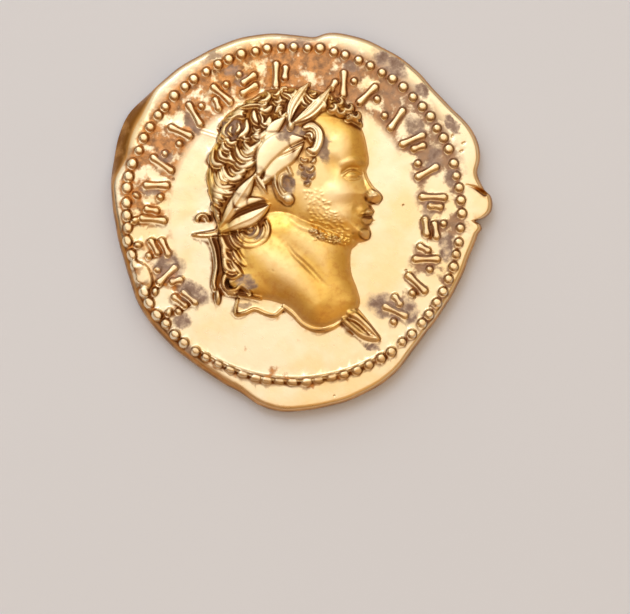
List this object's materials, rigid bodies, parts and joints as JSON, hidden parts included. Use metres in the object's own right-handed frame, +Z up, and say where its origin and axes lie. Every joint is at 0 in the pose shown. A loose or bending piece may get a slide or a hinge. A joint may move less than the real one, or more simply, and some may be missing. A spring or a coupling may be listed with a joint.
{
  "type": "gold coin",
  "caption": "Hand-struck ancient gold coin with a laureate head in relief, a ring of strokes and a beaded border, lying on its reverse.",
  "frame": {"origin": "middle of the coin's outline box, on the plane of the reverse margin the coin lies on", "axes": "+Z up through the coin from the reverse to the head side, +Y from the chin to the crown of the head, +X the way the head faces"},
  "size_m": [0.0194, 0.0192, 0.0026],
  "materials": {
    "struck_gold": "worn bright gold with grey and red-brown earth in the recesses"
  },
  "bodies": {
    "root": {"coin": "struck_gold"}
  },
  "joints": []
}
